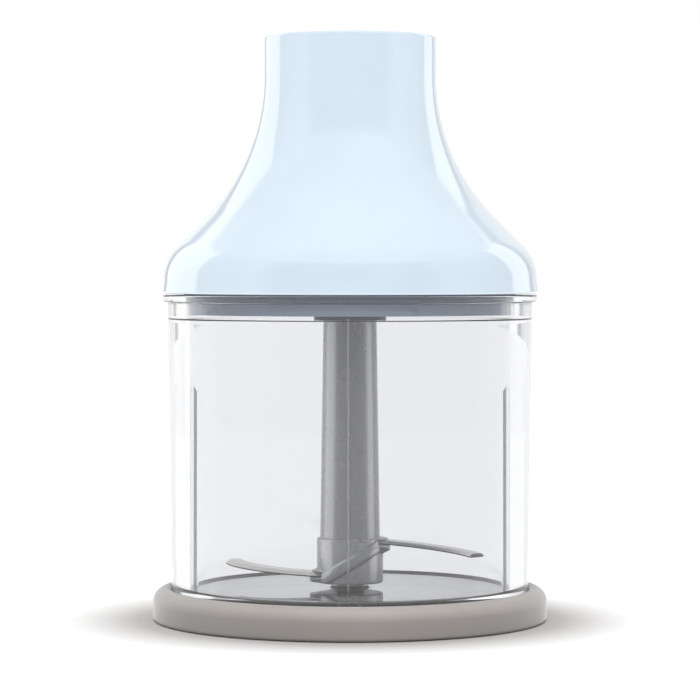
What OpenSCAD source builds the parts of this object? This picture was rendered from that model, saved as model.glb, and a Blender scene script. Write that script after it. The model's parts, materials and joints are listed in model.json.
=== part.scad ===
// Chopper attachment for a hand blender: a small food processor. A bell-shaped lid takes the
// blender's motor body in its neck and holds a planetary reduction gear. The gear turns a
// two-blade unit that stands on a pin in a clear bowl, and the bowl sits in a soft base.
// Z is up, the axis of everything that turns is the Z axis, and Z = 0 is the worktop.

/* [Lid] */
// Radius of the straight part of the neck
neck_r = 26.2; // [25.6:0.1:27.2]
// Radius of the hollow curve between neck and shoulder
neck_arc_r = 59.4; // [58.8:0.1:60.2]
// Height at which the hollow curve runs out into the straight neck
neck_arc_z = 165.1; // [164.6:0.1:165.6]
// Height of the top of the neck
lid_top_z = 177; // [175:0.5:180]
// Radius where the shoulder turns down into the skirt
skirt_r = 57; // [56.6:0.1:57.3]
// Radius of the skirt's lower edge
skirt_edge_r = 57.45; // [57.2:0.05:57.8]
// Radius of the rounded shoulder
shoulder_r = 16; // [14:0.5:17]
// Wall thickness of the lid shell
lid_wall = 2.4; // [2:0.1:2.8]

/* [Neck socket] */
// Bore radius of the socket that takes the motor body
socket_r = 22; // [20:0.5:22.5]
// Depth of the socket from its mouth to its floor
socket_depth = 34; // [28:1:36]

/* [Bowl] */
// Outer radius of the bowl under its lip
bowl_r = 55.6; // [55.3:0.1:55.9]
// Outer radius of the bowl at its foot
bowl_foot_r = 54.3; // [53.5:0.1:54.4]
// Inner radius of the bowl under the lid's seat
bowl_inner_r = 48.8; // [48.4:0.1:49.2]
// Height of the top of the lip
bowl_top_z = 98.8; // [98.6:0.1:98.8]
// Outer radius of the lip
lip_r = 57.1; // [56.6:0.1:57.4]
// Height of the inner floor
floor_z = 10; // [9.6:0.1:10]
// Height of the stop ribs inside the wall
rib_top_z = 71; // [50:1:80]

/* [Blades] */
// Radius of the circle that the blade tips run in
tip_r = 42.1; // [40.1:0.2:43.3]
// Thickness of a blade
blade_t = 1.2; // [1:0.1:1.4]
// Height of the upper blade's root
upper_blade_z = 24; // [23.6:0.1:24.2]
// Height of the lower blade's root
lower_blade_z = 14.2; // [13.9:0.1:14.4]
// Angle by which the upper blade leans down toward its tip, in degrees
upper_lean = 5.6; // [4:0.1:6]
// Angle by which the lower blade leans up toward its tip, in degrees
lower_lean = 4.3; // [3:0.1:4.8]
// Radius of the collar that holds the blades
collar_r = 10.1; // [9.8:0.1:10.6]

/* [Gear train] */
// Teeth on each planet gear
planet_teeth = 15; // [12:3:15]
// Face width of the gears
gear_w = 8; // [7:0.5:8]

/* [Base] */
// Radius of the base where it meets the worktop
base_r = 60; // [59:0.5:62]
// Height of the base's rim
base_h = 9.7; // [9.5:0.1:10.4]

/* [Hidden] */
$fn = 64;
eps = 0.01;
rest_gap = 0.3;       // air between parts that come apart
running_gap = 0.05;   // radial play of a shaft in its bearing

// Lid heights, from the seat on the bowl upward
lid_z = bowl_top_z + rest_gap;
slope_sum = neck_r + neck_arc_r + neck_arc_z - neck_arc_r * sqrt(2);
shoulder_z = slope_sum - skirt_r + shoulder_r - shoulder_r * sqrt(2);
skirt_round = 0.6;
neck_round = 0.8;

// Plug under the lid
seat_z = 91.5;
seat_r = 50.2;
plug_z = seat_z + 1.4;
plug_r = 49;
plug_t = 2.5;
plug_floor_z = plug_z + plug_t;
gasket_z = 97;
gasket_h = 1.5;
gasket_inner_r = plug_r - 1.4;
plug_screw_r = 40;
plug_screw_n = 4;
screw_shank_r = 1.25;
screw_head_r = 2.6;
screw_head_h = 1.8;

// Gearbox, from the output end upward
outlet_z = 91;
bushing_r = 11;
coupler_r = bushing_r - 1.95;
boss_r = 15;
boss_top_z = 102.5;
seal_z = 99;
seal_r = 13;
washer_t = 1;
coupler_flange_z = boss_top_z + washer_t + rest_gap;
carrier_z = coupler_flange_z + 4;
carrier_t = 4;
gear_z = carrier_z + carrier_t + 0.6;
gear_top_z = gear_z + gear_w;
cap_z = gear_top_z + 0.6;
cap_t = 2.4;
box_top_z = 124;
box_lid_t = 3;
box_r = 25;
box_wall = 2.5;
box_flange_r = 34;
box_flange_z = 99;
box_flange_t = 2.5;
box_screw_r = 31;
box_screw_n = 3;
sleeve_floor_t = 2.5;
sleeve_top_z = lid_top_z - 1;
sleeve_r = neck_r - lid_wall;
sleeve_floor_z = sleeve_top_z - socket_depth;
sleeve_z = sleeve_floor_z - sleeve_floor_t;
drive_hole_r = 8.2;
well_z = box_top_z + 7;
dog_z = well_z + 0.6;
dog_socket_z = dog_z + 4.5;

// Gear teeth
sun_teeth = 12;
tooth_module = 1;
pressure = 25;
addendum = 0.9 * tooth_module;
dedendum = 1.2 * tooth_module;
flank_play = 0.07;
ring_teeth = sun_teeth + 2 * planet_teeth;
planet_orbit_r = tooth_module * (sun_teeth + planet_teeth) / 2;
planet_n = 3;
pin_r = 2;
shaft_r = 2.5;
carrier_r = 19;

// Blade unit
hub_z = 11.5;
collar_top_z = 25.2;
shaft_low_r = 9.1;
shaft_high_r = 8.1;
shaft_top_z = 91.4;
hex_flat = 11;
hex_top_z = 102;
hex_root_z = 66;
band_z = 17.9;
band_tilt = 31.7;
band_h = 3.6;
band_proud = 0.7;
mouth_r = 12.3;
mouth_w = 15;
mouth_h = 4.6;
mouth_drop = 1;
blade_back_r = 26;
blade_back_centre = [14, -19.5];
blade_front_r = 21.7;
blade_front_centre = [13, -27];
blade_root_x = 6;
blade_bevel_w = 3.2;
blade_inner_bevel_w = 1.6;
blade_land = 0.35;
bearing_z = 10.9;
bearing_top_z = 52;
bearing_r = 4.4;
steel_pin_r = 2.5;
steel_pin_z = 4.4;
steel_pin_top_z = 58;

// Bowl and base
foot_z = 3;
under_floor_z = 7;
foot_inner_r = 50;
pin_boss_r = 3.7;
pin_boss_z = 3.6;
pin_seat_r = 5.5;
pin_seat_z = floor_z + 0.6;
lip_z = 96.6;
floor_round = 0.8;
rib_w = 3;
rib_depth = 1.3;
tray_z = foot_z - 0.2;
rim_inner_r = bowl_foot_r + 0.5;
rim_round = 0.8;
crest_round = base_r - rim_inner_r - rim_round - 0.2;
base_foot_round = 0.9;

// Colours
lid_blue = [0.80, 0.88, 0.94];
plug_blue = [0.72, 0.79, 0.85];
clear = [0.86, 0.91, 0.94, 0.35];
hub_grey = [0.60, 0.60, 0.61];
dark_grey = [0.33, 0.33, 0.34];
base_grey = [0.73, 0.71, 0.69];
seal_grey = [0.50, 0.55, 0.61];
steel = [0.76, 0.75, 0.73];
bronze = [0.70, 0.55, 0.35];
acetal = [0.93, 0.93, 0.90];

// Points on an arc about c, from angle a0 to a1 in n steps
function arc(c, r, a0, a1, n) =
    [for (i = [0:n]) let (a = a0 + (a1 - a0) * i / n) c + r * [cos(a), sin(a)]];

// Places n children evenly round the axis at radius r
module ring_of(n, r, start = 0) {
    for (i = [0:n - 1]) rotate([0, 0, start + i * 360 / n]) translate([r, 0, 0]) children();
}

// A tube from z0 to z1
module tube(z0, z1, outer, inner) {
    translate([0, 0, z0]) difference() {
        cylinder(h = z1 - z0, r = outer);
        translate([0, 0, -1]) cylinder(h = z1 - z0 + 2, r = inner);
    }
}

// A cross-recess screw, head down at z, reaching up by length
module screw(z, length) {
    translate([0, 0, z]) difference() {
        union() {
            cylinder(h = screw_head_h, r1 = screw_head_r, r2 = screw_shank_r);
            cylinder(h = length, r = screw_shank_r);
        }
        for (a = [0, 90]) rotate([0, 0, a]) cube([2.6, 0.6, 1.8], center = true);
    }
}

// The hole that such a screw needs
module screw_hole(z, length) {
    translate([0, 0, z]) cylinder(h = screw_head_h, r1 = screw_head_r, r2 = screw_shank_r);
    translate([0, 0, z]) cylinder(h = length, r = screw_shank_r);
    translate([0, 0, z - 1]) cylinder(h = 1 + eps, r = screw_head_r);
}

// ---------------------------------------------------------------- lid

// Half section of the bell, with its surface moved inward by inset
function bell(inset, bottom, top, low_round, high_round) = concat(
    [[0, bottom]],
    arc([skirt_edge_r - inset - low_round, bottom + low_round], low_round, -90, 0, 4),
    arc([skirt_r - shoulder_r, shoulder_z], shoulder_r - inset, 0, 45, 8),
    arc([neck_r + neck_arc_r, neck_arc_z], neck_arc_r + inset, 225, 180, 15),
    arc([neck_r - inset - high_round, top - high_round], high_round, 0, 90, 4),
    [[0, top]]
);

module lid_housing() {
    color(lid_blue) difference() {
        rotate_extrude($fn = 128) polygon(bell(0, lid_z, lid_top_z, skirt_round, neck_round));
        difference() {
            rotate_extrude($fn = 128)
                polygon(bell(lid_wall, lid_z - 1, lid_top_z + 1, 0.2, 0.2));
            ring_of(plug_screw_n, plug_screw_r, 45)
                translate([0, 0, plug_floor_z]) cylinder(h = 40, r = 3.6);
        }
        ring_of(plug_screw_n, plug_screw_r, 45) screw_hole(plug_z, 16);
    }
}

// Liner of the neck: the bore that the motor body slides into, with slots for its catches
module neck_sleeve() {
    color(base_grey) difference() {
        translate([0, 0, sleeve_z]) cylinder(h = sleeve_top_z - sleeve_z, r = sleeve_r, $fn = 96);
        translate([0, 0, sleeve_floor_z])
            cylinder(h = socket_depth + 1, r = socket_r, $fn = 96);
        translate([0, 0, sleeve_z - 1]) cylinder(h = sleeve_floor_t + 2, r = drive_hole_r);
        for (a = [0, 180])
            rotate([0, 0, a]) translate([socket_r - 2, -6, sleeve_top_z - 14])
                cube([3, 12, 5]);
    }
}

// ---------------------------------------------------------------- plug and seals

module lid_plug() {
    color(plug_blue) difference() {
        union() {
            translate([0, 0, plug_z]) cylinder(h = plug_t, r = plug_r, $fn = 128);
            tube(plug_z, lid_z + 0.4, plug_r, plug_r - plug_t);
            tube(plug_floor_z - eps, box_flange_z, box_flange_r, box_r + 2);
            translate([0, 0, plug_z]) cylinder(h = boss_top_z - plug_z, r = boss_r);
        }
        tube(gasket_z, gasket_z + gasket_h, plug_r + 1, gasket_inner_r);
        translate([0, 0, plug_z - 1]) cylinder(h = boss_top_z, r = bushing_r);
        translate([0, 0, seal_z]) cylinder(h = boss_top_z, r = seal_r);
        ring_of(plug_screw_n, plug_screw_r, 45) screw_hole(plug_z, 16);
        ring_of(box_screw_n, box_screw_r) screw_hole(plug_z, 16);
    }
}

// Seal ring in the groove round the plug
module lid_gasket() {
    color(seal_grey) tube(gasket_z, gasket_z + gasket_h, seat_r - rest_gap, gasket_inner_r);
}

module plug_screws() {
    color(steel) ring_of(plug_screw_n, plug_screw_r, 45) screw(plug_z, 14);
}

module shaft_seal() {
    color(dark_grey) tube(seal_z, boss_top_z, seal_r, coupler_r + rest_gap);
}

module output_bushing() {
    color(dark_grey) tube(outlet_z, seal_z, bushing_r, coupler_r + running_gap);
}

module thrust_washer() {
    color(acetal) tube(boss_top_z, boss_top_z + washer_t, boss_r - 0.5, coupler_r + rest_gap);
}

// ---------------------------------------------------------------- gearbox

module gearbox_housing() {
    color(acetal) difference() {
        union() {
            translate([0, 0, box_flange_z]) cylinder(h = box_flange_t, r = box_flange_r);
            translate([0, 0, box_flange_z])
                cylinder(h = box_top_z + box_lid_t - box_flange_z, r = box_r + box_wall);
            translate([0, 0, box_top_z])
                cylinder(h = sleeve_z - box_top_z, r = drive_hole_r + box_wall);
        }
        translate([0, 0, box_flange_z - 1]) cylinder(h = box_top_z - box_flange_z + 1, r = box_r);
        translate([0, 0, box_top_z - 1]) cylinder(h = 10, r = shaft_r + 3);
        translate([0, 0, well_z]) cylinder(h = sleeve_z, r = drive_hole_r);
        ring_of(box_screw_n, box_screw_r) screw_hole(plug_z, 16);
    }
}

module gearbox_screws() {
    color(steel) ring_of(box_screw_n, box_screw_r) screw(plug_z, box_flange_z + 1.5 - plug_z);
}

module input_bushing() {
    color(bronze) tube(box_top_z, well_z, shaft_r + 3, shaft_r + running_gap);
}

// Involute function of an angle, in degrees
function inv(a) = tan(a) * 180 / PI - a;

// Half the angle that a tooth fills at radius r, thinned by play on each flank
function tooth_half(z, r, play) =
    let (pitch_r = tooth_module * z / 2, base_circle_r = pitch_r * cos(pressure))
    90 / z - play / pitch_r * 180 / PI + inv(pressure)
        - inv(acos(min(1, base_circle_r / r)));

// Outline of a spur gear with a tooth on the +X axis, between radius root and tip
function gear_outline(z, root, tip, play, steps = 4) =
    let (
        start_r = max(root, tooth_module * z / 2 * cos(pressure)),
        radii = [for (i = [0:steps]) start_r + (tip - start_r) * i / steps],
        foot = root < start_r - eps ? [root] : [],
        up = concat(foot, radii),
        down = [for (i = [len(up) - 1:-1:0]) up[i]]
    )
    [for (k = [0:z - 1], side = [-1, 1], r = side < 0 ? up : down)
        let (a = k * 360 / z + side * tooth_half(z, max(r, start_r), play))
            r * [cos(a), sin(a)]];

module gear(z) {
    pitch_r = tooth_module * z / 2;
    linear_extrude(gear_w)
        polygon(gear_outline(z, pitch_r - dedendum, pitch_r + addendum, flank_play));
}

// Angle at which the planet at angle t has to stand to mesh with a sun tooth on the +X axis
function planet_phase(t) = t + 180 - (180 - t * sun_teeth) / planet_teeth;

module sun_gear() {
    color(steel) difference() {
        translate([0, 0, gear_z]) gear(sun_teeth);
        translate([0, 0, gear_z - 1]) cylinder(h = gear_w + 2, r = shaft_r);
    }
}

module planet_gear(i) {
    t = i * 360 / planet_n;
    color(acetal) rotate([0, 0, t]) translate([planet_orbit_r, 0, gear_z]) difference() {
        rotate([0, 0, planet_phase(t) - t]) gear(planet_teeth);
        translate([0, 0, -1]) cylinder(h = gear_w + 2, r = pin_r + running_gap);
    }
}

module ring_gear() {
    pitch_r = tooth_module * ring_teeth / 2;
    color(dark_grey) difference() {
        translate([0, 0, gear_z - 0.5]) cylinder(h = gear_w + 1, r = box_r);
        translate([0, 0, gear_z - 1]) linear_extrude(gear_w + 2)
            polygon(gear_outline(ring_teeth, pitch_r - addendum, pitch_r + dedendum, -flank_play));
    }
}

module planet_carrier() {
    color(dark_grey) difference() {
        union() {
            translate([0, 0, carrier_z]) cylinder(h = carrier_t, r = carrier_r);
            ring_of(planet_n, carrier_r - 3, 180 / planet_n)
                translate([0, 0, carrier_z]) cylinder(h = cap_z - carrier_z, r = 2.7);
        }
        ring_of(planet_n, planet_orbit_r)
            translate([0, 0, carrier_z - 1]) cylinder(h = carrier_t + 2, r = pin_r);
        translate([0, 0, carrier_z - 1]) cylinder(h = 3, r = 6);
    }
}

module carrier_cap() {
    color(dark_grey) difference() {
        translate([0, 0, cap_z]) cylinder(h = cap_t, r = carrier_r);
        translate([0, 0, cap_z - 1]) cylinder(h = cap_t + 2, r = 6.5);
        ring_of(planet_n, planet_orbit_r)
            translate([0, 0, cap_z - 1]) cylinder(h = cap_t + 2, r = pin_r);
    }
}

module planet_pins() {
    color(steel) ring_of(planet_n, planet_orbit_r)
        translate([0, 0, carrier_z]) cylinder(h = cap_z + cap_t - carrier_z, r = pin_r);
}

// A hexagonal prism whose opposite sides are flat apart
module hexagon(flat, h) {
    cylinder(h = h, r = flat / 2 / cos(30), $fn = 6);
}

module output_coupler() {
    color(dark_grey) difference() {
        union() {
            translate([0, 0, outlet_z + 1])
                cylinder(h = carrier_z - outlet_z - 1, r = coupler_r);
            translate([0, 0, coupler_flange_z])
                cylinder(h = carrier_z - coupler_flange_z, r = boss_r - 1);
            translate([0, 0, carrier_z - eps]) cylinder(h = 2 + eps, r = 6);
        }
        translate([0, 0, outlet_z]) hexagon(hex_flat + 2 * rest_gap, hex_top_z + 0.6 - outlet_z);
    }
}

module input_shaft() {
    color(steel) translate([0, 0, gear_z])
        cylinder(h = dog_socket_z - gear_z, r = shaft_r);
}

module shaft_clip() {
    color(steel) difference() {
        tube(gear_top_z, gear_top_z + 0.8, shaft_r + 2, shaft_r);
        translate([0, -1.2, gear_top_z - 1]) cube([8, 2.4, 3]);
    }
}

// Driven dog of the motor coupling: a cup with six drive slots, sunk under the socket's floor
module input_coupling() {
    h = sleeve_floor_z - 0.2 - dog_z;
    color(dark_grey) difference() {
        translate([0, 0, dog_z]) cylinder(h = h, r = drive_hole_r - 0.8);
        translate([0, 0, dog_z - 1]) cylinder(h = h, r = shaft_r);
        translate([0, 0, dog_socket_z]) cylinder(h = h, r = 4);
        for (a = [0, 60, 120]) rotate([0, 0, a])
            translate([-6, -1.3, dog_socket_z]) cube([12, 2.6, h]);
    }
}

// ---------------------------------------------------------------- blade unit

// One sickle blade, flat, with its root toward the axis and its tip swept clockwise
module sickle() {
    intersection() {
        difference() {
            translate(blade_back_centre) union() {
                cylinder(h = blade_land, r = blade_back_r, $fn = 128);
                translate([0, 0, blade_land - eps]) cylinder(
                    h = blade_t - blade_land + eps,
                    r1 = blade_back_r,
                    r2 = blade_back_r - blade_bevel_w,
                    $fn = 128
                );
            }
            translate([blade_front_centre.x, blade_front_centre.y, -1])
                cylinder(h = blade_t + 2, r = blade_front_r, $fn = 128);
            translate([blade_front_centre.x, blade_front_centre.y, blade_land]) cylinder(
                h = blade_t - blade_land + eps,
                r1 = blade_front_r,
                r2 = blade_front_r + blade_inner_bevel_w,
                $fn = 128
            );
        }
        translate([0, 0, -1]) cylinder(h = blade_t + 2, r = tip_r, $fn = 128);
        translate([blade_root_x, -tip_r, -1]) cube([tip_r, 2 * tip_r, blade_t + 2]);
    }
}

// The blade at height z, pointing to angle turn and leaning by lean
module placed_sickle(z, turn, lean) {
    rotate([0, 0, turn]) translate([collar_r, 0, z]) rotate([0, lean, 0])
        translate([-collar_r, 0, -blade_t / 2]) sickle();
}

module upper_sickle() {
    placed_sickle(upper_blade_z, 0, upper_lean);
}

module lower_sickle() {
    placed_sickle(lower_blade_z, 180, -lower_lean);
}

module upper_blade() {
    color(steel) upper_sickle();
}

module lower_blade() {
    color(steel) lower_sickle();
}

// Slanting band round the collar
module blade_band() {
    intersection() {
        translate([0, 0, hub_z])
            cylinder(h = collar_top_z - hub_z, r = collar_r + band_proud);
        translate([0, 0, band_z]) rotate([0, -band_tilt, 0])
            cube([60, 60, band_h], center = true);
    }
}

// Mouth on the side of the collar that a blade's root comes out of
module blade_mouth(blade_z, turn) {
    low_z = max(hub_z, blade_z - mouth_drop - mouth_h / 2);
    high_z = blade_z - mouth_drop + mouth_h / 2;
    intersection() {
        translate([0, 0, low_z]) cylinder(h = high_z - low_z, r = mouth_r);
        rotate([0, 0, turn]) translate([0, -mouth_w / 2, 0]) cube([60, mouth_w, 60]);
    }
}

module hub_body() {
    rotate_extrude() polygon(concat(
        [[0, hub_z]],
        arc([collar_r - 0.6, hub_z + 0.6], 0.6, -90, 0, 3),
        arc([collar_r - 0.5, collar_top_z - 0.5], 0.5, 0, 90, 3),
        [[shaft_low_r, collar_top_z]],
        arc([shaft_high_r - 0.5, shaft_top_z - 0.5], 0.5, 0, 90, 3),
        [[0, shaft_top_z]]
    ));
}

module drive_insert() {
    color(dark_grey) union() {
        translate([0, 0, shaft_top_z - 1]) hexagon(hex_flat, hex_top_z - shaft_top_z + 1);
        translate([0, 0, hex_root_z]) cylinder(h = shaft_top_z - 1 - hex_root_z, r = 4.6);
    }
}

module blade_hub() {
    color(hub_grey) difference() {
        union() {
            hub_body();
            blade_band();
            blade_mouth(upper_blade_z, 0);
            blade_mouth(lower_blade_z, 180);
        }
        translate([0, 0, hub_z - 1])
            cylinder(h = bearing_top_z + 0.3 - hub_z + 1, r = bearing_r + running_gap);
        translate([0, 0, hub_z]) cylinder(h = steel_pin_top_z + 2 - hub_z, r = steel_pin_r + 0.6);
        translate([0, 0, shaft_top_z - 1]) hexagon(hex_flat, 20);
        translate([0, 0, hex_root_z]) cylinder(h = shaft_top_z - hex_root_z, r = 4.6);
        upper_sickle();
        lower_sickle();
    }
}

module hub_bearing() {
    color(dark_grey) tube(bearing_z, bearing_top_z, bearing_r, steel_pin_r + running_gap);
}

// ---------------------------------------------------------------- bowl and base

module bowl_shell() {
    rotate_extrude($fn = 128) polygon(concat(
        [[0, under_floor_z], [foot_inner_r, under_floor_z], [foot_inner_r + 0.3, foot_z]],
        arc([bowl_foot_r - 0.8, foot_z + 0.8], 0.8, -90, 0, 4),
        [[bowl_r, lip_z]],
        arc([lip_r - 0.5, lip_z + 0.5], 0.5, -90, 0, 3),
        arc([lip_r - 1.2, bowl_top_z - 1.2], 1.2, 0, 90, 5),
        arc([seat_r + 0.4, bowl_top_z - 0.4], 0.4, 90, 180, 3),
        [[seat_r, seat_z], [bowl_inner_r, seat_z]],
        arc([bowl_inner_r - floor_round, floor_z + floor_round], floor_round, 0, -90, 4),
        [[pin_seat_r + 0.6, floor_z], [pin_seat_r, pin_seat_z], [0, pin_seat_z]]
    ));
}

// Upright rib on the inside of the wall that keeps the food from turning with the blades
module stop_rib() {
    translate([0, rib_w / 2, 0]) rotate([90, 0, 0]) linear_extrude(rib_w) polygon([
        [bowl_inner_r + 1.5, floor_z - 1],
        [bowl_inner_r - rib_depth, floor_z - 1],
        [bowl_inner_r - rib_depth, rib_top_z - rib_depth],
        [bowl_inner_r + 1.5, rib_top_z + 1.5]
    ]);
}

module bowl() {
    color(clear) difference() {
        union() {
            bowl_shell();
            for (a = [0, 180]) rotate([0, 0, a]) stop_rib();
            translate([0, 0, pin_boss_z])
                cylinder(h = under_floor_z - pin_boss_z + 1, r = pin_boss_r);
        }
        translate([0, 0, steel_pin_z]) cylinder(h = 20, r = steel_pin_r);
    }
}

module pivot_pin() {
    color(steel) translate([0, 0, steel_pin_z]) union() {
        cylinder(h = steel_pin_top_z - steel_pin_z - 1, r = steel_pin_r);
        translate([0, 0, steel_pin_top_z - steel_pin_z - 1])
            cylinder(h = 1, r1 = steel_pin_r, r2 = steel_pin_r - 0.8);
    }
}

module nonslip_base() {
    color(base_grey) difference() {
        rotate_extrude($fn = 128) polygon(concat(
            [[0, 0]],
            arc([base_r - base_foot_round, base_foot_round], base_foot_round, -90, 0, 3),
            arc([base_r - crest_round, base_h - crest_round], crest_round, 0, 90, 8),
            arc([rim_inner_r + rim_round, base_h - rim_round], rim_round, 90, 180, 4),
            [[bowl_foot_r + rest_gap, tray_z], [0, tray_z]]
        ));
        translate([0, 0, -1]) cylinder(h = 2, r = base_r - 8);
    }
}

lid_housing();
neck_sleeve();
gearbox_housing();
ring_gear();
input_bushing();
output_bushing();
shaft_seal();
thrust_washer();
lid_plug();
lid_gasket();
plug_screws();
gearbox_screws();
input_shaft();
input_coupling();
sun_gear();
shaft_clip();
planet_carrier();
carrier_cap();
planet_pins();
output_coupler();
planet_gear(0);  // planet_gear_1
planet_gear(1);  // planet_gear_2
planet_gear(2);  // planet_gear_3
blade_hub();
drive_insert();
upper_blade();
lower_blade();
hub_bearing();
bowl();
pivot_pin();
nonslip_base();
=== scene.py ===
import json
import math

import bpy
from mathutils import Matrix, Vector

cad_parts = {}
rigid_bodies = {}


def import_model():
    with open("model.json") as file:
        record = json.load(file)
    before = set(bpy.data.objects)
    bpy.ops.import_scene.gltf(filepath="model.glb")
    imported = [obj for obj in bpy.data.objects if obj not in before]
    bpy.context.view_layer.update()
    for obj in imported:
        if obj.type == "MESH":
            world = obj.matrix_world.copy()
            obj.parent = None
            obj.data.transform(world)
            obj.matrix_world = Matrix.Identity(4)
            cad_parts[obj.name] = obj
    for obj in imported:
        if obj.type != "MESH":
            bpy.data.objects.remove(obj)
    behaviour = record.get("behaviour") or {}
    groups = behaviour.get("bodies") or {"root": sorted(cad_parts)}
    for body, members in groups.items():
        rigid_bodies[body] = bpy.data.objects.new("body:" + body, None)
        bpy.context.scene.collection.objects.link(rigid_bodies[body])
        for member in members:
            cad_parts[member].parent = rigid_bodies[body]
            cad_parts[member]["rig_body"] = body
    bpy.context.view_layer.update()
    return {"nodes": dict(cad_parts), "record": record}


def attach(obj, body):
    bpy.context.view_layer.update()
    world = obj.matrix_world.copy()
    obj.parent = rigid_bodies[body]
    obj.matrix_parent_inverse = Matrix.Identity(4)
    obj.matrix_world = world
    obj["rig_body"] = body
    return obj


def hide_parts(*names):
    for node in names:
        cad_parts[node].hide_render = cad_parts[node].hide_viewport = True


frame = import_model()
nodes = frame["nodes"]

MM = 0.001
ON_AXIS = 1e-6

# Heights and radii of the object, in millimetres, repeated from the part's own dimensions
LID_Z, LID_TOP_Z, LID_WALL = 99.1, 177.0, 2.4
NECK_R, NECK_ARC_R, NECK_ARC_Z = 26.2, 59.4, 165.1
SKIRT_R, SKIRT_EDGE_R, SHOULDER_R = 57.0, 57.45, 16.0
BOWL_R, BOWL_FOOT_R, BOWL_INNER_R = 55.6, 54.3, 48.8
LIP_R, LIP_Z, BOWL_TOP_Z = 57.1, 96.6, 98.8
SEAT_R, SEAT_Z = 50.2, 91.5
FOOT_Z, UNDER_FLOOR_Z, FLOOR_Z, FOOT_INNER_R = 3.0, 7.0, 10.0, 50.0
PIN_BOSS_R, PIN_BOSS_Z = 3.7, 3.6
PIN_SEAT_R, PIN_SEAT_Z = 5.5, 10.6
# The last of these is how far the painted shade on each rib's side faces reaches out from its
# nose.
RIB_TOP_Z, RIB_W, RIB_DEPTH, RIB_SHADE_W = 71.0, 3.0, 1.3, 0.5
RIB_SOFT = 0.1
SEAM_TURN, SEAM_HALF_W, SEAM_H = 0.011, 0.18, 0.04
BASE_R, BASE_H, TRAY_Z = 60.0, 9.7, 2.8
RIM_INNER_R, RIM_ROUND, CREST_ROUND, BASE_FOOT_ROUND = 54.8, 0.8, 4.2, 0.9
HUB_Z, COLLAR_R, COLLAR_TOP_Z = 11.5, 10.1, 25.2
SHAFT_LOW_R, SHAFT_HIGH_R, SHAFT_TOP_Z = 9.1, 8.1, 91.4
BEARING_HOLE_R, BEARING_HOLE_TOP_Z = 4.45, 52.3
UPPER_Z, UPPER_LEAN, LOWER_Z, LOWER_LEAN = 24.0, 5.6, 14.2, 4.3
BAND_Z, BAND_TILT, BAND_H, BAND_PROUD = 17.9, 31.7, 3.6, 0.7
MOUTH_R, MOUTH_W, MOUTH_H, MOUTH_DROP = 12.3, 15.0, 4.6, 1.0
SLOT_DEPTH, SLOT_HALF_H, SLOT_HALF_W = 1.6, 0.62, 5.6
TIP_R, BLADE_T, BLADE_LAND, BEVEL_W, INNER_BEVEL_W = 42.1, 1.2, 0.35, 3.2, 1.6
BACK_R, BACK_CENTRE = 26.0, Vector((14.0, -19.5))
FRONT_R, FRONT_CENTRE = 21.7, Vector((13.0, -27.0))
BLADE_ROOT_X, BLADE_EDGE_ROUND = 6.0, 0.12

# Columns of a turned mesh, rows along a blade, and the places of its rows from edge to back,
# closest where a bevel meets the flat
TURNED_COLUMNS, BLADE_ROWS = 224, 72
BLADE_ACROSS = (0, 0.012, 0.03, 0.08, 0.15, 0.22, 0.27, 0.29, 0.31, 0.4, 0.5, 0.6, 0.7, 0.8,
                0.84, 0.87, 0.9, 0.93, 0.96, 0.985, 1)

# Where the camera stands, how far it looks down and its lens, in metres, degrees and mm
CAMERA_PLACE, CAMERA_DOWN, CAMERA_LENS = (0.0, -0.914, 0.1083), 1.66, 154.3
# Half the floor's width, its drop below the worktop plane, and the ring of painted shadow
# in which it turns from darker grey near the base to glowing white, in metres
FLOOR_HALF, FLOOR_DROP, PAINTED_SHADOW_START, PAINTED_SHADOW_END = 60.0, 0.0002, 0.0645, 0.094

# Brightness of the room's walls at degrees from the camera's direction, and of its ceiling
ROOM_PEAK = 1.5
ROOM = (
    (-180, 1.17), (-171, 1.05), (-159, 1.0), (-156, 0.5), (-152, 0.5),
    (-149, 1.28), (-109, 1.32), (-106, 0.55), (-62, 0.65), (-46, 0.33), (46, 0.33), (62, 0.65),
    (116, 0.55), (119, 1.32), (141, 1.22), (144, 0.5), (148, 0.5), (151, 0.8), (168, 0.95),
    (180, 1.17),
)
CEILING, WALL_TOP = 0.72, 0.6
FLOOR_GLOW = 1.17
# Strips of light beside the hub: degrees from the camera's direction, width (m) and power (W)
HUB_STRIPS = (("left_strip", -84, 0.036, 0.024), ("right_strip", 82, 0.022, 0.014))
STRIP_FROM_AXIS, STRIP_H = 0.04, 0.1


# ------------------------------------------------------------------ camera, floor and light

def make_camera():
    """Looks at the front from 0.9 m, a little above the lid's edge and tilted slightly down."""
    data = bpy.data.cameras.new("camera")
    data.lens, data.sensor_width = CAMERA_LENS, 36.0
    camera = bpy.data.objects.new("camera", data)
    camera.location = CAMERA_PLACE
    camera.rotation_euler = (math.radians(90 - CAMERA_DOWN), 0, 0)
    bpy.context.scene.collection.objects.link(camera)
    bpy.context.scene.camera = camera


def area_light(name, place, target, size, power):
    """A soft box of size (width, height) in metres at place, turned to target."""
    data = bpy.data.lights.new(name, "AREA")
    data.shape = "RECTANGLE"
    data.size, data.size_y = size
    data.energy = power
    light = bpy.data.objects.new(name, data)
    light.location = place
    light.rotation_euler = (Vector(target) - Vector(place)).to_track_quat("-Z", "Y").to_euler()
    light.visible_camera = False
    bpy.context.scene.collection.objects.link(light)
    return light


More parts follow.
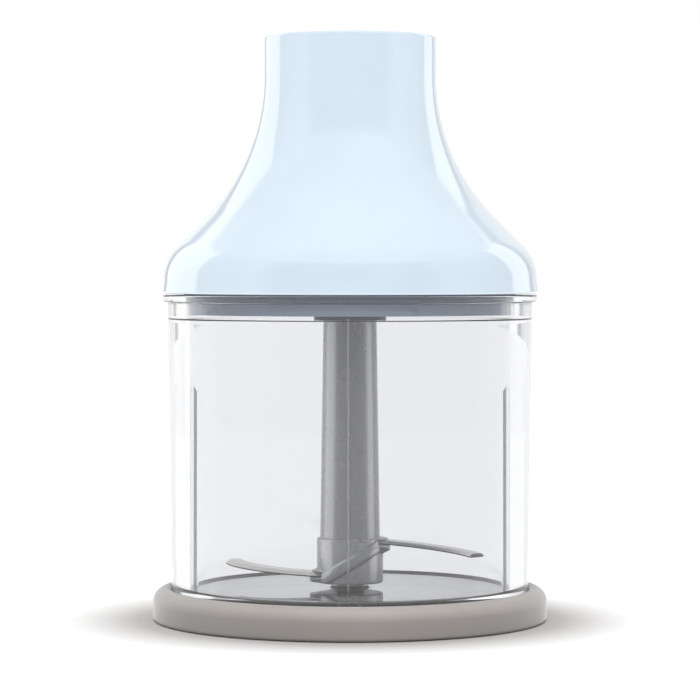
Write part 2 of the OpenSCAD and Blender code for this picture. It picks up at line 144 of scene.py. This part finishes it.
def make_world():
    """A white room, dim on the camera's side and brightest beside and behind the object. The
    camera itself sees it white."""
    world = bpy.data.worlds.new("studio")
    world.use_nodes = True
    tree = world.node_tree
    background, output = tree.nodes["Background"], tree.nodes["World Output"]

    def math_node(operation, first, second):
        node = tree.nodes.new("ShaderNodeMath")
        node.operation = operation
        for socket, value in zip(node.inputs, (first, second)):
            if isinstance(value, bpy.types.NodeSocket):
                tree.links.new(value, socket)
            else:
                socket.default_value = value
        return node.outputs["Value"]

    split = tree.nodes.new("ShaderNodeSeparateXYZ")
    place = tree.nodes.new("ShaderNodeTexCoord")
    tree.links.new(place.outputs["Generated"], split.inputs["Vector"])
    toward_camera = math_node("MULTIPLY", split.outputs["Y"], -1)
    azimuth = math_node("ARCTAN2", split.outputs["X"], toward_camera)
    ramp = tree.nodes.new("ShaderNodeValToRGB")
    share = math_node("MULTIPLY_ADD", azimuth, 0.5 / math.pi)
    share.node.inputs[2].default_value = 0.5
    tree.links.new(share, ramp.inputs["Fac"])
    elements = ramp.color_ramp.elements
    while len(elements) > 1:
        elements.remove(elements[-1])
    for k, (degrees, brightness) in enumerate(ROOM):
        element = elements[0] if k == 0 else elements.new(0.5 + degrees / 360)
        element.position = 0.5 + degrees / 360
        element.color = (*[brightness / ROOM_PEAK] * 3, 1)
    ceiling = tree.nodes.new("ShaderNodeMix")
    ceiling.data_type = "RGBA"
    ceiling.inputs["B"].default_value = (*[CEILING / ROOM_PEAK] * 3, 1)
    above = tree.nodes.new("ShaderNodeMapRange")
    above.interpolation_type = "SMOOTHSTEP"
    above.inputs["From Min"].default_value = WALL_TOP - 0.04
    above.inputs["From Max"].default_value = WALL_TOP + 0.04
    tree.links.new(split.outputs["Z"], above.inputs["Value"])
    tree.links.new(above.outputs["Result"], ceiling.inputs["Factor"])
    tree.links.new(ramp.outputs["Color"], ceiling.inputs["A"])
    tree.links.new(ceiling.outputs["Result"], background.inputs["Color"])
    background.inputs["Strength"].default_value = ROOM_PEAK

    seen = tree.nodes.new("ShaderNodeBackground")
    seen.inputs["Color"].default_value = (1, 1, 1, 1)
    path, mix = tree.nodes.new("ShaderNodeLightPath"), tree.nodes.new("ShaderNodeMixShader")
    tree.links.new(path.outputs["Is Camera Ray"], mix.inputs["Fac"])
    tree.links.new(background.outputs["Background"], mix.inputs[1])
    tree.links.new(seen.outputs["Background"], mix.inputs[2])
    tree.links.new(mix.outputs["Shader"], output.inputs["Surface"])
    bpy.context.scene.world = world
    bpy.context.scene.view_settings.view_transform = "Standard"


def make_light(floor):
    """A large soft box overhead and a weaker one in front that spares the floor."""
    area_light("overhead", (0, 0.05, 1.6), (0, 0, 0.08), (1.4, 1.2), 9.0).visible_glossy = False
    front = area_light("front", (0, -1.3, 0.9), (0, 0, 0.08), (1.4, 1.0), 8.5)
    front.visible_glossy = False
    spared = bpy.data.collections.new("spared_by_front")
    spared.objects.link(floor)
    spared.collection_objects[0].light_linking.link_state = "EXCLUDE"
    front.light_linking.receiver_collection = spared


def light_base(base):
    """A soft box above that lights only the base, whose crest it brightens."""
    only_base = bpy.data.collections.new("base_receiver")
    only_base.objects.link(base)
    crest = area_light("crest", (0, -0.2, 0.8), (0, -0.06, 0), (0.8, 0.4), 5.6)
    crest.visible_glossy = False
    crest.light_linking.receiver_collection = only_base


def light_hub(hub):
    """Two upright strips beside the blade shaft that light only the hub."""
    only_hub = bpy.data.collections.new("hub_receiver")
    only_hub.objects.link(hub)
    for name, azimuth, width, power in HUB_STRIPS:
        a = math.radians(azimuth)
        place = Vector((math.sin(a), -math.cos(a), 0)) * STRIP_FROM_AXIS
        place.z = STRIP_H / 2
        strip = area_light(name, place, (0, 0, STRIP_H / 2), (width, STRIP_H), power)
        strip.visible_transmission = False
        strip.light_linking.receiver_collection = only_hub


def make_floor():
    """A pale floor that the object stands on, with a painted shadow round the base: darker grey
    near it, it turns into a white glow further out.
    """
    mesh = bpy.data.meshes.new("floor")
    signs = ((-1, -1), (1, -1), (1, 1), (-1, 1))
    corners = [(x * FLOOR_HALF, y * FLOOR_HALF, -FLOOR_DROP) for x, y in signs]
    mesh.from_pydata(corners, [], [(0, 1, 2, 3)])
    floor = bpy.data.objects.new("floor", mesh)
    bpy.context.scene.collection.objects.link(floor)
    white = Material("floor_white", (0.85, 0.85, 0.85), 0.9)
    white.set("Specular IOR Level", 0.0)
    white.set("Emission Color", (1, 1, 1, 1))
    reach = white.tree.nodes.new("ShaderNodeVectorMath")
    reach.operation = "LENGTH"
    white.tree.links.new(white.place, reach.inputs[0])
    # Painted shadow: near the base the floor is a darker grey with no glow, and the glow rises
    # across the ring.
    out_of_painted_shadow = white.ranged(reach.outputs["Value"], 0, 1, PAINTED_SHADOW_START, PAINTED_SHADOW_END)
    white.mottle(out_of_painted_shadow, (0.72, 0.70, 0.69), (0, 0, 0), 0, 1)
    white.link(white.ranged(out_of_painted_shadow, 0, FLOOR_GLOW, 0, 1), "Emission Strength")
    mesh.materials.append(white.data)
    return floor


# ------------------------------------------------------------------ materials

class Material:
    """A Principled material with a colour, a roughness and helpers for its procedural detail."""

    def __init__(self, name, colour, roughness, **values):
        self.data = bpy.data.materials.new(name)
        self.data.use_nodes = True
        self.tree = self.data.node_tree
        self.shader = self.tree.nodes["Principled BSDF"]
        self.place = self.tree.nodes.new("ShaderNodeTexCoord").outputs["Object"]
        self.set("Base Color", (*colour, 1))
        self.set("Roughness", roughness)
        for key, value in values.items():
            self.set(key.replace("_", " "), value)

    def set(self, socket, value):
        self.shader.inputs[socket].default_value = value

    def link(self, output, name):
        self.tree.links.new(output, self.shader.inputs[name])

    def stretched(self, scale):
        """Object coordinates, stretched by scale along each axis."""
        mapping = self.tree.nodes.new("ShaderNodeMapping")
        mapping.inputs["Scale"].default_value = scale
        self.tree.links.new(self.place, mapping.inputs["Vector"])
        return mapping.outputs["Vector"]

    def noise(self, scale, detail=2.0, stretch=(1, 1, 1)):
        """A noise pattern with about scale features a metre."""
        node = self.tree.nodes.new("ShaderNodeTexNoise")
        node.inputs["Scale"].default_value = scale
        node.inputs["Detail"].default_value = detail
        self.tree.links.new(self.stretched(stretch), node.inputs["Vector"])
        return node.outputs["Fac"]

    def ranged(self, value, low, high, start=0.3, end=0.7):
        """value taken from start..end to low..high."""
        node = self.tree.nodes.new("ShaderNodeMapRange")
        node.inputs["From Min"].default_value = start
        node.inputs["From Max"].default_value = end
        node.inputs["To Min"].default_value = low
        node.inputs["To Max"].default_value = high
        self.tree.links.new(value, node.inputs["Value"])
        return node.outputs["Result"]

    def mottle(self, value, low_colour, high_colour, start=0.3, end=0.7):
        """Base colour that drifts between two tints as value goes from start to end."""
        node = self.tree.nodes.new("ShaderNodeMix")
        node.data_type = "RGBA"
        node.inputs["A"].default_value = (*low_colour, 1)
        node.inputs["B"].default_value = (*high_colour, 1)
        self.tree.links.new(self.ranged(value, 0, 1, start, end), node.inputs["Factor"])
        self.link(node.outputs["Result"], "Base Color")

    def rough(self, value, low, high):
        """Roughness between low and high."""
        self.link(self.ranged(value, low, high), "Roughness")

    def bump(self, value, height, strength=1.0):
        """Bumps of about height millimetres."""
        node = self.tree.nodes.new("ShaderNodeBump")
        node.inputs["Distance"].default_value = height * MM
        node.inputs["Strength"].default_value = strength
        self.tree.links.new(value, node.inputs["Height"])
        self.link(node.outputs["Normal"], "Normal")


def tint(colour, factor):
    """colour made lighter or darker by factor."""
    return tuple(min(1.0, c * factor) for c in colour)


def moulded(name, colour, roughness, grain=900.0, grain_height=0.004, **values):
    """Moulded plastic or rubber: faint flow mottling, uneven gloss and a fine surface grain."""
    m = Material(name, colour, roughness, **values)
    m.mottle(m.noise(35, 3.0), tint(colour, 0.97), tint(colour, 1.03))
    m.rough(m.noise(140, 4.0), roughness * 0.88, roughness * 1.12)
    m.bump(m.noise(grain, 3.0), grain_height)
    return m.data


def metal(name, colour, roughness, stretch=(1, 1, 1), scratch=2500.0, depth=0.002):
    """Ground or turned metal: scratches drawn out along one direction."""
    m = Material(name, colour, roughness, Metallic=1.0)
    lines = m.noise(scratch, 2.0, stretch)
    m.mottle(lines, tint(colour, 0.9), tint(colour, 1.08))
    m.rough(lines, roughness * 0.8, roughness * 1.2)
    m.bump(lines, depth)
    return m.data


def clear_plastic(name, colour):
    """Clear moulded plastic, with the slight waves of its surface and a painted shade that darkens
    it a little toward +X. The lamps shine straight through it."""
    m = Material(name, colour, 0.0, IOR=1.52)
    m.set("Transmission Weight", 1.0)
    across = m.tree.nodes.new("ShaderNodeSeparateXYZ")
    m.tree.links.new(m.place, across.inputs["Vector"])
    # Painted shade: the colour darkens a little toward +X.
    m.mottle(across.outputs["X"], tint(colour, 1.005), tint(colour, 0.983), -0.03, 0.04)
    m.bump(m.noise(45, 1.0), 0.01, 0.3)
    through = m.tree.nodes.new("ShaderNodeBsdfTransparent")
    mix = m.tree.nodes.new("ShaderNodeMixShader")
    through.inputs["Color"].default_value = (*colour, 1)
    path = m.tree.nodes.new("ShaderNodeLightPath")
    m.tree.links.new(path.outputs["Is Shadow Ray"], mix.inputs["Fac"])
    m.tree.links.new(m.shader.outputs["BSDF"], mix.inputs[1])
    m.tree.links.new(through.outputs["BSDF"], mix.inputs[2])
    m.tree.links.new(mix.outputs["Shader"], m.tree.nodes["Material Output"].inputs["Surface"])
    return m.data


def hub_plastic(name, shaft_colour, collar_painted_light_colour):
    """Satin grey plastic of the hub. The collar is a little lighter: painted light."""
    m = Material(name, shaft_colour, 0.26, Metallic=0.35)
    up = m.tree.nodes.new("ShaderNodeSeparateXYZ")
    m.tree.links.new(m.place, up.inputs["Vector"])
    top = COLLAR_TOP_Z * MM
    # Painted light: below COLLAR_TOP_Z the hub takes the lighter collar tone.
    m.mottle(up.outputs["Z"], collar_painted_light_colour, shaft_colour, top, top + 0.2 * MM)
    m.rough(m.noise(140, 4.0), 0.23, 0.29)
    m.bump(m.noise(1500, 3.0), 0.004)
    return m.data


def make_materials():
    """One material for each slot of the record, and two for details: painted shade along the
    ribs' sides and painted shade on the blades' rims."""
    return {
        "lid_blue": moulded(
            "lid_blue", (0.67, 0.79, 0.90), 0.08, grain=420, grain_height=0.0012,
            Coat_Weight=1.0, Coat_Roughness=0.03, Coat_IOR=2.0,
        ),
        # Painted shade: the plug is the lid's pale blue plastic, darkened here for the shadow
        # under the lid.
        "plug_blue": moulded("plug_blue", (0.28, 0.33, 0.41), 0.3),
        "clear_bowl": clear_plastic("clear_bowl", (0.84, 0.845, 0.86)),
        # Near-black clear plastic: painted shade along the ribs' sides.
        "rib_painted_shade": clear_plastic("rib_painted_shade", (0.002, 0.002, 0.002)),
        # The second colour is the collar's painted light.
        "hub_grey": hub_plastic("hub_grey", (0.22, 0.22, 0.23), (0.27, 0.27, 0.28)),
        "liner_grey": moulded("liner_grey", (0.55, 0.55, 0.55), 0.45),
        "drive_grey": moulded("drive_grey", (0.04, 0.038, 0.038), 0.4),
        "gear_plastic": moulded("gear_plastic", (0.82, 0.82, 0.77), 0.35),
        "blade_steel": metal("blade_steel", (0.68, 0.655, 0.635), 0.3, (4, 60, 4), 120, 0.003),
        # Near-black steel: painted shade on the blades' rims.
        "blade_rim_painted_shade": metal("blade_rim_painted_shade", (0.07, 0.068, 0.066), 0.4, (4, 60, 4), 120, 0.003),
        "plain_steel": metal("plain_steel", (0.55, 0.55, 0.55), 0.22, (1, 1, 12)),
        "bronze": metal("bronze", (0.55, 0.36, 0.18), 0.4),
        "seal_grey": moulded("seal_grey", (0.17, 0.20, 0.245), 0.45),
        "seal_black": moulded("seal_black", (0.02, 0.02, 0.02), 0.55),
        "base_grey": moulded("base_grey", (0.285, 0.266, 0.252), 0.5, grain=2200,
                             grain_height=0.012, Sheen_Weight=0.6, Sheen_Roughness=0.35),
    }


# ------------------------------------------------------------------ mesh building

def arc(centre, radius, start, end, steps):
    """Points on an arc about centre (r, z), angles in degrees."""
    angles = [math.radians(start + (end - start) * i / steps) for i in range(steps + 1)]
    return [Vector((centre[0] + radius * math.cos(a), centre[1] + radius * math.sin(a)))
            for a in angles]


def rounded(corners, steps=6):
    """The outline through corners (r, z, fillet), with an arc of that fillet at each corner."""
    outline = []
    for i, (r, z, fillet) in enumerate(corners):
        here = Vector((r, z))
        if fillet == 0:
            outline.append(here)
            continue
        before = (Vector(corners[i - 1][:2]) - here).normalized()
        after = (Vector(corners[i + 1][:2]) - here).normalized()
        half = before.angle(after) / 2
        centre = here + (before + after).normalized() * (fillet / math.sin(half))
        start = here + before * (fillet / math.tan(half)) - centre
        end = here + after * (fillet / math.tan(half)) - centre
        turn = math.atan2(start.x * end.y - start.y * end.x, start.dot(end))
        for k in range(steps + 1):
            a = math.atan2(start.y, start.x) + turn * k / steps
            outline.append(centre + fillet * Vector((math.cos(a), math.sin(a))))
    return outline


def divided(outline, longest):
    """The outline with points added so that no step is longer than longest."""
    out = [outline[0]]
    for a, b in zip(outline, outline[1:]):
        n = max(1, math.ceil((b - a).length / longest))
        out.extend(a.lerp(b, k / n) for k in range(1, n + 1))
    return out


def mesh_object(name, points, faces, material):
    """A smooth-shaded object from points in millimetres."""
    mesh = bpy.data.meshes.new(name)
    mesh.from_pydata([Vector(p) * MM for p in points], [], faces)
    mesh.materials.append(material)
    mesh.polygons.foreach_set("use_smooth", [True] * len(mesh.polygons))
    mesh.update()
    piece = bpy.data.objects.new(name, mesh)
    bpy.context.scene.collection.objects.link(piece)
    weighted = piece.modifiers.new("even_normals", "WEIGHTED_NORMAL")
    weighted.keep_sharp = True
    return piece


def lathe(name, outline, material, angles=None, reshape=None):
    """A solid of revolution from an outline of (r, z) in mm, drawn anticlockwise, from axis to
    axis or as a closed ring. reshape(r, z, angle) may move a point in or out."""
    angles = angles or [2 * math.pi * i / TURNED_COLUMNS for i in range(TURNED_COLUMNS)]
    reshape = reshape or (lambda r, z, a: r)
    columns = len(angles)
    points, rows = [], []
    for r, z in outline:
        if r < ON_AXIS:
            rows.append([len(points)] * columns)
            points.append((0, 0, z))
            continue
        rows.append(list(range(len(points), len(points) + columns)))
        for a in angles:
            radius = reshape(r, z, a)
            points.append((radius * math.cos(a), radius * math.sin(a), z))
    pairs = list(zip(rows, rows[1:]))
    if outline[0].x > ON_AXIS:
        pairs.append((rows[-1], rows[0]))
    faces = []
    for low, high in pairs:
        for i in range(columns):
            j = (i + 1) % columns
            corners = [low[i], low[j], high[j], high[i]]
            faces.append(list(dict.fromkeys(corners)))
    return mesh_object(name, points, faces, material)


def smoothstep(low, high, x):
    """0 below low, 1 above high, and a smooth rise between."""
    t = min(1.0, max(0.0, (x - low) / (high - low)))
    return t * t * (3 - 2 * t)


def angle_between(a, b):
    """The difference between two angles, from -pi to pi."""
    return (a - b + math.pi) % (2 * math.pi) - math.pi


def columns_with_detail(count, places, reach, step):
    """Angles all round, with extra ones within reach of each of places, step apart."""
    angles = {round(2 * math.pi * i / count, 6) for i in range(count)}
    for place in places:
        angles = {a for a in angles if abs(angle_between(a, place)) > reach}
        n = round(reach / step)
        angles |= {round((place + reach * k / n) % (2 * math.pi), 6) for k in range(-n, n + 1)}
    return sorted(angles)


# ------------------------------------------------------------------ lid

def bell(inset):
    """Half section of the bell from its lower edge up to the neck, moved inward by inset."""
    shoulder_z = (NECK_R + NECK_ARC_R + NECK_ARC_Z - NECK_ARC_R * math.sqrt(2)
                  - SKIRT_R + SHOULDER_R - SHOULDER_R * math.sqrt(2))
    shoulder = arc((SKIRT_R - SHOULDER_R, shoulder_z), SHOULDER_R - inset, 0, 45, 16)
    neck = arc((NECK_R + NECK_ARC_R, NECK_ARC_Z), NECK_ARC_R + inset, 225, 180, 36)
    return shoulder + neck


def make_lid(material):
    """The lid's bell-shaped shell, with a rounded lower edge and a rounded mouth."""
    edge, mouth = 0.6, 0.8
    outer = (arc((SKIRT_EDGE_R - edge, LID_Z + edge), edge, -90, 0, 6)
             + bell(0) + arc((NECK_R - mouth, LID_TOP_Z - mouth), mouth, 0, 90, 8))
    inner = ([Vector((NECK_R - LID_WALL, LID_TOP_Z))] + bell(LID_WALL)[::-1]
             + [Vector((SKIRT_EDGE_R - LID_WALL, LID_Z))])
    return lathe("lid_shell", divided(outer + inner, 2.5), material)


# ------------------------------------------------------------------ bowl

def make_bowl(material, painted_shade_material):
    """The clear bowl: foot ring, thick wall with a lip and a seat, two stop ribs inside, a
    boss under the pin and the fine parting line that the mould leaves at front and back."""
    outline = rounded([
        (0, PIN_BOSS_Z, 0), (PIN_BOSS_R, PIN_BOSS_Z, 0.5), (PIN_BOSS_R, UNDER_FLOOR_Z, 0.6),
        (FOOT_INNER_R, UNDER_FLOOR_Z, 0.8), (FOOT_INNER_R + 0.3, FOOT_Z, 0.4),
        (BOWL_FOOT_R, FOOT_Z, 0.8), (BOWL_R, LIP_Z, 0.4), (LIP_R, LIP_Z, 0.35),
        (LIP_R, BOWL_TOP_Z, 0.6), (SEAT_R, BOWL_TOP_Z, 0.4), (SEAT_R, SEAT_Z, 0.3),
        (BOWL_INNER_R, SEAT_Z, 0.3), (BOWL_INNER_R, FLOOR_Z, 0.8),
        (PIN_SEAT_R + 0.6, FLOOR_Z, 0.5), (PIN_SEAT_R, PIN_SEAT_Z, 0.2), (0, PIN_SEAT_Z, 0),
    ])
    outline = divided(outline, 1.2)
    half_rib = RIB_W / 2 / BOWL_INNER_R
    ribs, seams = (0.0, math.pi), (1.5 * math.pi - SEAM_TURN, 0.5 * math.pi + SEAM_TURN)
    rib_soft, seam_half = RIB_SOFT / BOWL_INNER_R, SEAM_HALF_W / BOWL_R
    rib_sides = [rib + side * half_rib for rib in ribs for side in (-1, 1)]
    rib_slope_z = RIB_TOP_Z - RIB_DEPTH

    def reshape(r, z, angle):
        inside_wall = BOWL_INNER_R - RIB_DEPTH < r < BOWL_INNER_R + 0.1 and z > FLOOR_Z - 0.01
        if inside_wall and z < RIB_TOP_Z:
            off = min(abs(angle_between(angle, rib)) for rib in ribs)
            nose_r = BOWL_INNER_R - RIB_DEPTH + max(0.0, z - rib_slope_z)
            share = 1 - smoothstep(half_rib - rib_soft, half_rib + rib_soft, off)
            return r + (min(r, nose_r) - r) * share
        if r > BOWL_FOOT_R - 0.01 and FOOT_Z + 0.8 < z < LIP_Z:
            off = min(abs(angle_between(angle, seam)) for seam in seams)
            return r + SEAM_H * max(0.0, 1 - (off / seam_half) ** 2)
        return r

    angles = columns_with_detail(200, rib_sides, 0.28 / BOWL_INNER_R, 0.04 / BOWL_INNER_R)
    angles = sorted(set(angles) | set(columns_with_detail(4, seams, seam_half * 1.5,
                                                          0.06 / BOWL_R)))
    bowl = lathe("clear_bowl", outline, material, angles, reshape)
    bowl.data.materials.append(painted_shade_material)
    # Painted shade: the side faces beside each rib's nose take the near-black material.
    for face in bowl.data.polygons:
        r, z = face.center.xy.length / MM, face.center.z / MM
        nose_r = BOWL_INNER_R - RIB_DEPTH + max(0.0, z - rib_slope_z)
        on_side = abs(face.normal.y) > 0.7
        if on_side and FLOOR_Z < z < RIB_TOP_Z and nose_r < r < nose_r + RIB_SHADE_W:
            face.material_index = 1
    return bowl


# ------------------------------------------------------------------ base

def make_base(material):
    """The soft base: a shallow tray with a full round rim."""
    outline = (
        [Vector((0, 0))]
        + rounded([(BASE_R - 8, 0, 0), (BASE_R, 0, BASE_FOOT_ROUND),
                   (BASE_R, BASE_H, CREST_ROUND), (RIM_INNER_R, BASE_H, RIM_ROUND),
                   (BOWL_FOOT_R + 0.3, TRAY_Z, 0.6), (0, TRAY_Z, 0)], 12)
    )
    return lathe("soft_base", divided(outline, 2.5), material)


# ------------------------------------------------------------------ blade unit

def hub_outline():
    """Half section of the hub, from the bearing's hole round the outside to the top."""
    return rounded([
        (0, BEARING_HOLE_TOP_Z, 0), (BEARING_HOLE_R, BEARING_HOLE_TOP_Z, 0),
        (BEARING_HOLE_R, HUB_Z, 0.3), (COLLAR_R, HUB_Z, 0.6), (COLLAR_R, COLLAR_TOP_Z, 0.5),
        (SHAFT_LOW_R, COLLAR_TOP_Z, 0.15), (SHAFT_HIGH_R, SHAFT_TOP_Z, 0.5),
        (0, SHAFT_TOP_Z, 0),
    ])


def band_shape(angle, z):
    """How far the slanting band and the blades' mouths stand proud of the collar."""
    tilt = math.radians(BAND_TILT)
    x = COLLAR_R * math.cos(angle)
    across = abs((z - BAND_Z) * math.cos(tilt) - x * math.sin(tilt))
    band = BAND_PROUD * (1 - smoothstep(BAND_H / 2 - 0.5, BAND_H / 2 + 0.25, across))
    crown = 0.25 * max(0.0, 1 - (across / (BAND_H / 2)) ** 2)
    proud = band + crown
    for place, height in ((0.0, UPPER_Z), (math.pi, LOWER_Z)):
        side = abs(COLLAR_R * math.sin(angle))
        if abs(angle_between(angle, place)) > math.pi / 2:
            continue
        above = z - height + MOUTH_DROP
        reach = math.hypot(side / (MOUTH_W / 2), above / (MOUTH_H / 2 + 0.3))
        proud = max(proud, (MOUTH_R - COLLAR_R) * (1 - smoothstep(0.55, 1.12, reach)))
        slot = ((1 - smoothstep(SLOT_HALF_H, 0.85, abs(z - height)))
                * (1 - smoothstep(SLOT_HALF_W, 6.3, side)))
        proud -= SLOT_DEPTH * slot
    return proud


def make_hub(material):
    """The blade shaft with its collar, the slanting band and the mouths that hold the blades."""
    outline = hub_outline()
    fine = []
    for a, b in zip(outline, outline[1:]):
        on_collar = a.x > COLLAR_R - 0.7 and b.x > COLLAR_R - 0.7
        fine.extend(divided([a, b], 0.14 if on_collar else 3.0)[:-1])
    fine.append(outline[-1])

    def reshape(r, z, angle):
        if r < COLLAR_R - 0.7 or z > COLLAR_TOP_Z + 0.01:
            return r
        ends = smoothstep(HUB_Z, HUB_Z + 0.5, z)
        return r + band_shape(angle, z) * ends

    return lathe("hub_moulding", fine, material, reshape=reshape)


def crossing(centre, radius, outer):
    """The point with y below 0 and the larger x where a circle meets the circle of radius
    outer about the axis."""
    d = centre.length
    along = (outer ** 2 - radius ** 2 + d ** 2) / (2 * d)
    up = math.sqrt(outer ** 2 - along ** 2)
    unit = centre / d
    normal = Vector((-unit.y, unit.x))
    ends = [unit * along + normal * s * up for s in (-1, 1)]
    return max(ends, key=lambda p: p.x)


def edge_curve(centre, radius, share):
    """A point on a blade's edge, at share of the way from its root to its tip."""
    tip = crossing(centre, radius, TIP_R) - centre
    start = math.acos((BLADE_ROOT_X - centre.x) / radius)
    end = math.atan2(tip.y, tip.x)
    a = start + (end - start) * share
    return centre + radius * Vector((math.cos(a), math.sin(a)))


def sickle_point(u, v):
    """Planform of a blade: u from root to tip, v from the cutting edge to the back."""
    a, b = edge_curve(BACK_CENTRE, BACK_R, u), edge_curve(FRONT_CENTRE, FRONT_R, u)
    flat = a.lerp(b, v)
    end_a, end_b = edge_curve(BACK_CENTRE, BACK_R, 1), edge_curve(FRONT_CENTRE, FRONT_R, 1)
    chord = end_a.lerp(end_b, v)
    return flat + (chord.normalized() * TIP_R - chord) * u ** 10


def make_blade(name, material, painted_shade_material, height, turned, lean):
    """A sickle blade: a flat plate with a ground bevel along both edges."""
    points = []
    for side in (1, -1):
        for i in range(BLADE_ROWS + 1):
            u = i / BLADE_ROWS
            for v in BLADE_ACROSS:
                p = sickle_point(u, v)
                from_edge = (p - sickle_point(u, 0)).length / BEVEL_W
                from_inner = (p - sickle_point(u, 1)).length / INNER_BEVEL_W
                top = BLADE_LAND + (BLADE_T - BLADE_LAND) * min(1.0, from_edge, from_inner)
                points.append((p.x, p.y, top if side > 0 else 0.0))
    width = len(BLADE_ACROSS)
    layer = (BLADE_ROWS + 1) * width
    faces = []
    for i in range(BLADE_ROWS):
        for j in range(width - 1):
            a, b = i * width + j, (i + 1) * width + j
            faces.append((a, a + 1, b + 1, b))
            faces.append((a + layer, b + layer, b + layer + 1, a + layer + 1))
    for j in range(width - 1):
        first, last = j, BLADE_ROWS * width + j
        faces.append((first, first + layer, first + 1 + layer, first + 1))
        faces.append((last, last + 1, last + 1 + layer, last + layer))
    for i in range(BLADE_ROWS):
        for j in (0, width - 1):
            a, b = i * width + j, (i + 1) * width + j
            face = (a, b, b + layer, a + layer)
            faces.append(face if j == 0 else face[::-1])
    angle, tilt = math.radians(turned), math.radians(lean)
    placed = []
    for x, y, z in points:
        x, z = x - COLLAR_R, z - BLADE_T / 2
        x, z = x * math.cos(tilt) + z * math.sin(tilt), z * math.cos(tilt) - x * math.sin(tilt)
        x += COLLAR_R
        placed.append((x * math.cos(angle) - y * math.sin(angle),
                       x * math.sin(angle) + y * math.cos(angle), z + height))
    piece = mesh_object(name, placed, faces, material)
    piece.data.materials.append(painted_shade_material)
    # Painted shade: the blade's end and rim faces take the near-black steel.
    for face in piece.data.polygons[2 * BLADE_ROWS * (width - 1):]:
        face.material_index = 1
    bevel = piece.modifiers.new("edge", "BEVEL")
    bevel.width, bevel.segments = BLADE_EDGE_ROUND * MM, 2
    bevel.limit_method, bevel.angle_limit = "ANGLE", math.radians(40)
    piece.modifiers.move(1, 0)
    return piece


# ------------------------------------------------------------------ putting it together

def stand_in(piece, node):
    """piece stands for a CAD node, on that node's body."""
    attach(piece, nodes[node]["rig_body"])
    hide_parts(node)


def main():
    """Everything in the scene. The CAD nodes that stay get the material of their slot."""
    make_camera()
    make_world()
    make_light(make_floor())
    materials = make_materials()
    for part in frame["record"]["subparts"]:
        nodes[part["node"]].material_slots[0].material = materials[part["material_slot"]]
    stand_in(make_lid(materials["lid_blue"]), "lid_housing")
    bowl = make_bowl(materials["clear_bowl"], materials["rib_painted_shade"])
    stand_in(bowl, "bowl")
    base = make_base(materials["base_grey"])
    stand_in(base, "nonslip_base")
    light_base(base)
    hub = make_hub(materials["hub_grey"])
    stand_in(hub, "blade_hub")
    light_hub(hub)
    # The second of these is the painted shade for the blades' rims.
    steel, edge = materials["blade_steel"], materials["blade_rim_painted_shade"]
    stand_in(make_blade("upper_sickle", steel, edge, UPPER_Z, 0, UPPER_LEAN), "upper_blade")
    stand_in(make_blade("lower_sickle", steel, edge, LOWER_Z, 180, -LOWER_LEAN), "lower_blade")


main()
